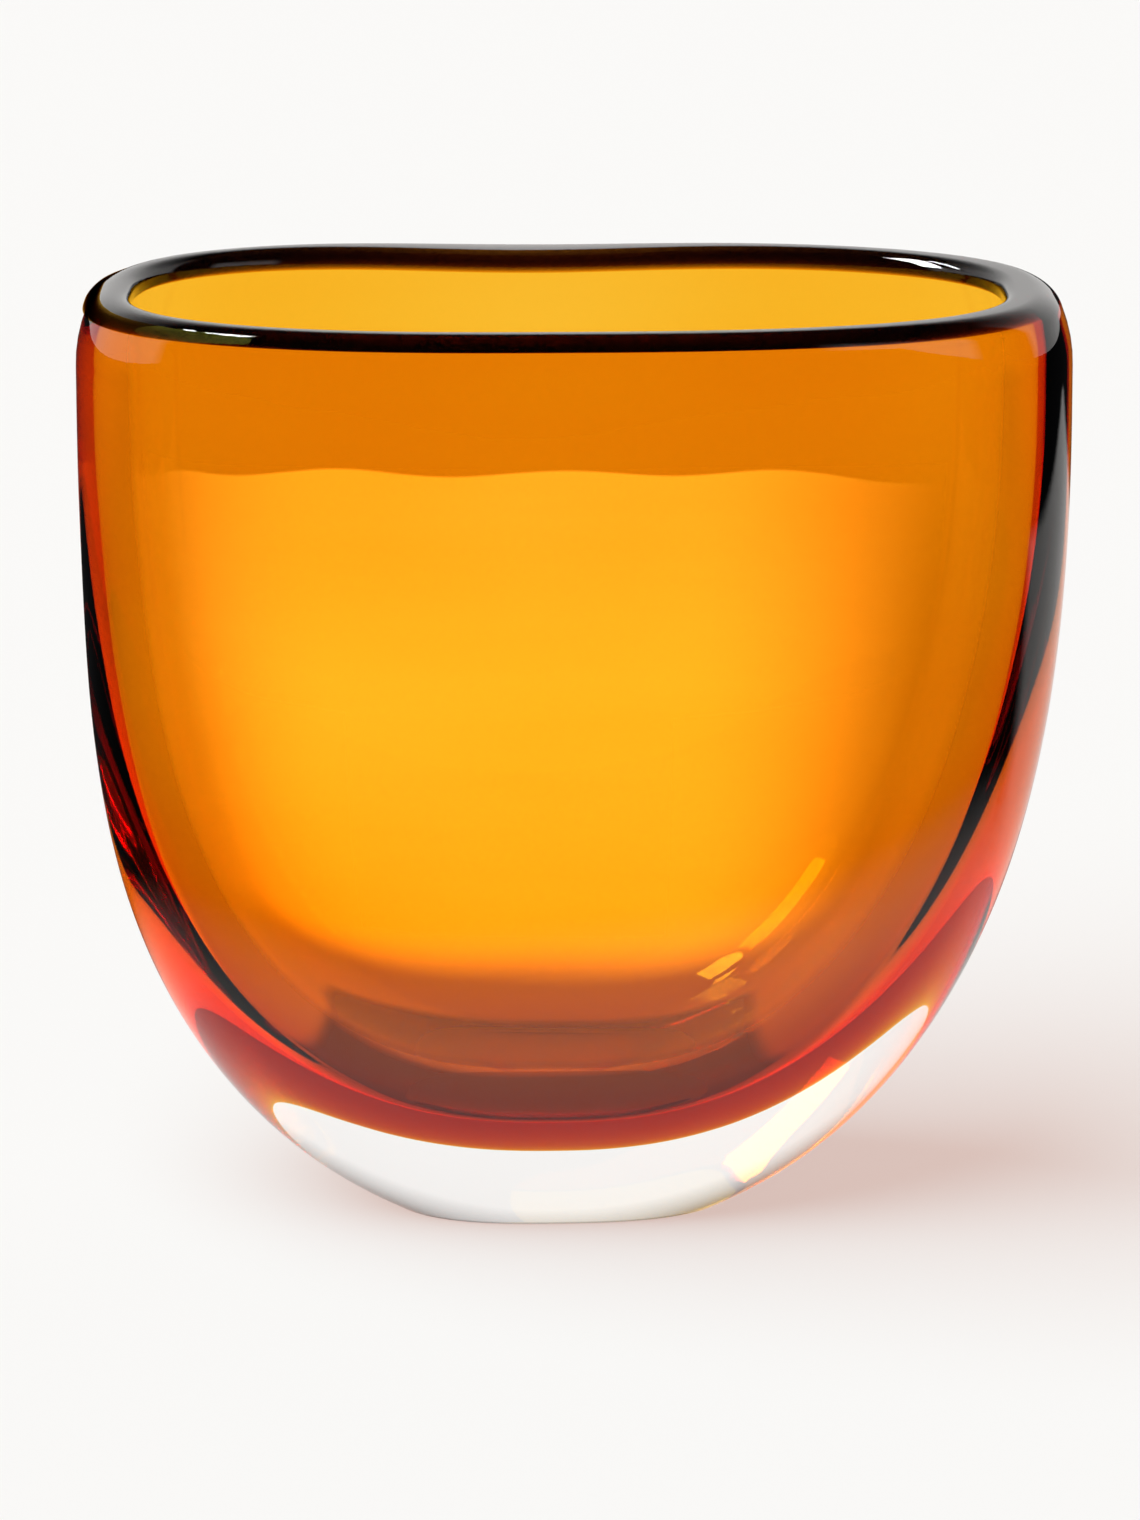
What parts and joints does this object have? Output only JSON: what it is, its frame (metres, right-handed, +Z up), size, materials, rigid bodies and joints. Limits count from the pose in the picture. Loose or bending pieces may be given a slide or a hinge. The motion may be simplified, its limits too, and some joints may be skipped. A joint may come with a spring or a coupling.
{
  "type": "art glass bowl",
  "caption": "Deep flattened-oval bowl of amber glass cased in clear glass, with a thick round lip, a slightly drawn-in back wall and a thick clear base.",
  "frame": {"origin": "on the surface that the foot stands on, under the middle of the bowl's outer box", "axes": "+Z up out of the mouth; +X along the long side of the oval; +Y towards the wall that is drawn in at its middle"},
  "size_m": [0.25, 0.1312, 0.234],
  "materials": {
    "clear_glass": "fire-polished, clear, with a ground foot",
    "amber_glass": "fire-polished, transparent amber"
  },
  "bodies": {
    "root": {"clear_casing": "clear_glass", "amber_liner": "amber_glass"}
  },
  "joints": []
}
